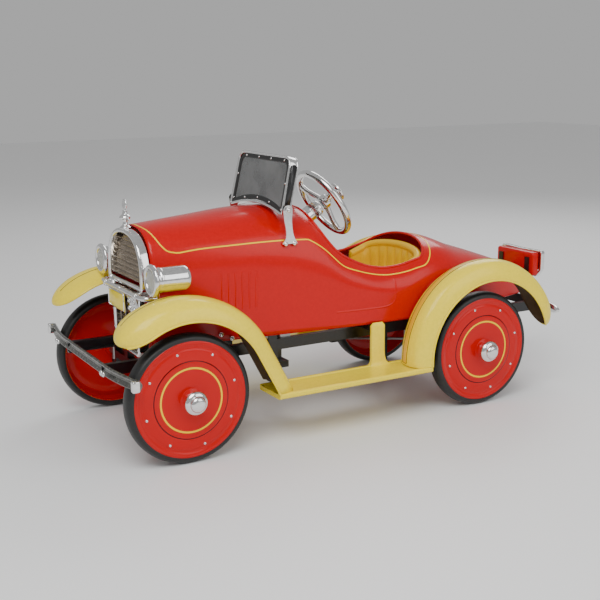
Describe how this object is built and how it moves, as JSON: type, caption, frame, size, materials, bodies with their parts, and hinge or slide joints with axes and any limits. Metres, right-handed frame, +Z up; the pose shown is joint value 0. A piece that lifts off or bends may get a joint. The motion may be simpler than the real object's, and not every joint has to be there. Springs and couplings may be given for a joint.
{
  "type": "pedal car",
  "caption": "Child's ride-on pedal car shaped as an open roadster, with steered disc wheels, crank pedals, folding-screen windshield, fenders, running boards and a tub seat.",
  "frame": {"origin": "on the ground under the middle of the overall length", "axes": "+Z up, nose towards -Y, the car's left side towards +X"},
  "size_m": [0.522, 1.16, 0.5621],
  "materials": {
    "black_paint": "semi-gloss enamel",
    "black_rubber": "matt",
    "chrome": "polished",
    "cream_paint": "gloss enamel",
    "glass": "clear",
    "grille_metal": "dark grey",
    "lens": "fluted",
    "red_paint": "gloss enamel",
    "seat_vinyl": "smooth vinyl",
    "steel": "plain bright steel",
    "tyre": "solid rubber"
  },
  "bodies": {
    "chassis": {"axle_bearings": "black_paint", "body_shell": "red_paint", "chassis_frame": "black_paint", "column_bracket": "black_paint", "column_collar": "black_rubber", "column_jacket": "chrome", "dash_panel": "red_paint", "dome_bolts": "chrome", "front_axle_beam": "black_paint", "front_bumper": "chrome", "front_fender_left": "cream_paint", "front_fender_right": "cream_paint", "fuel_tank": "red_paint", "headlamp_bezels": "chrome", "headlamp_lenses": "lens", "headlamp_shells": "chrome", "kingpins": "steel", "lamp_bar": "chrome", "mount_plate": "chrome", "number_plate": "chrome", "pedal_shaft": "steel", "radiator_cap": "chrome", "radiator_grille": "grille_metal", "radiator_shell": "chrome", "rear_bumper": "chrome", "rear_fender_left": "cream_paint", "rear_fender_right": "cream_paint", "running_boards": "cream_paint", "seat_back": "seat_vinyl", "seat_cushion": "seat_vinyl", "seat_pan": "black_paint", "step_brackets": "cream_paint", "tank_trim": "chrome", "windshield_brackets": "chrome", "windshield_frame": "chrome", "windshield_gasket": "black_rubber", "windshield_glass": "glass"},
    "steering": {"steering_wheel": "chrome", "steering_shaft": "steel"},
    "horn": {"horn_button": "chrome"},
    "knuckle_l": {"knuckle_left": "steel"},
    "knuckle_r": {"knuckle_right": "steel"},
    "steering_link": {"tie_rod": "steel"},
    "front_wheel_l": {"wheel_front_left": "red_paint", "tyre_front_left": "tyre", "hub_cap_front_left": "chrome"},
    "front_wheel_r": {"wheel_front_right": "red_paint", "tyre_front_right": "tyre", "hub_cap_front_right": "chrome"},
    "drive_axle": {"rear_axle": "steel", "wheel_rear_left": "red_paint", "tyre_rear_left": "tyre", "hub_cap_rear_left": "chrome"},
    "rear_wheel_r": {"wheel_rear_right": "red_paint", "tyre_rear_right": "tyre", "hub_cap_rear_right": "chrome"},
    "rod_l": {"push_rod_left": "steel"},
    "rod_r": {"push_rod_right": "steel"},
    "pedal_l": {"pedal_left": "black_paint"},
    "pedal_r": {"pedal_right": "black_paint"}
  },
  "joints": [
    {"name": "steering_turn", "type": "hinge", "parent": "chassis", "child": "steering", "pos_m": [0, -0.009, 0.4475], "axis": [0, 0.8508, 0.5255], "range_deg": [-31, 31]},
    {"name": "horn_press", "type": "slide", "parent": "steering", "child": "horn", "axis": [0, 0.8508, 0.5255], "range_m": [-0.003, 0], "stiffness_N_per_m": 300},
    {"name": "left_knuckle_turn", "type": "hinge", "parent": "chassis", "child": "knuckle_l", "pos_m": [0.184, -0.434, 0.127], "axis": [0, 0, 1], "range_deg": [-22, 22]},
    {"name": "right_knuckle_turn", "type": "hinge", "parent": "chassis", "child": "knuckle_r", "pos_m": [-0.184, -0.434, 0.127], "axis": [0, 0, 1], "range_deg": [-22, 22]},
    {"name": "tie_rod_pivot", "type": "hinge", "parent": "knuckle_l", "child": "steering_link", "pos_m": [0.184, -0.379, 0.1253], "axis": [0, 0, 1], "range_deg": [-22, 22]},
    {"name": "front_left_roll", "type": "hinge", "parent": "knuckle_l", "child": "front_wheel_l", "pos_m": [0.215, -0.434, 0.127], "axis": [1, 0, 0], "continuous": true},
    {"name": "front_right_roll", "type": "hinge", "parent": "knuckle_r", "child": "front_wheel_r", "pos_m": [-0.215, -0.434, 0.127], "axis": [1, 0, 0], "continuous": true},
    {"name": "rear_axle_turn", "type": "hinge", "parent": "chassis", "child": "drive_axle", "pos_m": [0, 0.268, 0.127], "axis": [1, 0, 0], "continuous": true},
    {"name": "rear_right_roll", "type": "hinge", "parent": "drive_axle", "child": "rear_wheel_r", "pos_m": [-0.215, 0.268, 0.127], "axis": [1, 0, 0], "continuous": true},
    {"name": "left_rod_pivot", "type": "hinge", "parent": "drive_axle", "child": "rod_l", "pos_m": [0.046, 0.268, 0.163], "axis": [1, 0, 0], "continuous": true},
    {"name": "right_rod_pivot", "type": "hinge", "parent": "drive_axle", "child": "rod_r", "pos_m": [-0.046, 0.268, 0.091], "axis": [1, 0, 0], "continuous": true},
    {"name": "left_pedal_swing", "type": "hinge", "parent": "chassis", "child": "pedal_l", "pos_m": [0.066, -0.163, 0.262], "axis": [1, 0, 0], "range_deg": [-20, 20]},
    {"name": "right_pedal_swing", "type": "hinge", "parent": "chassis", "child": "pedal_r", "pos_m": [-0.066, -0.163, 0.262], "axis": [1, 0, 0], "range_deg": [-20, 20]}
  ],
  "couplings": [
    {"joint": "left_knuckle_turn", "follows": "steering_turn", "ratio": 0.7},
    {"joint": "right_knuckle_turn", "follows": "steering_turn", "ratio": 0.7},
    {"joint": "tie_rod_pivot", "follows": "steering_turn", "ratio": -0.7},
    {"joint": "left_rod_pivot", "follows": "rear_axle_turn", "ratio": -1},
    {"joint": "right_rod_pivot", "follows": "rear_axle_turn", "ratio": -1},
    {"joint": "right_pedal_swing", "follows": "left_pedal_swing", "ratio": -1}
  ]
}
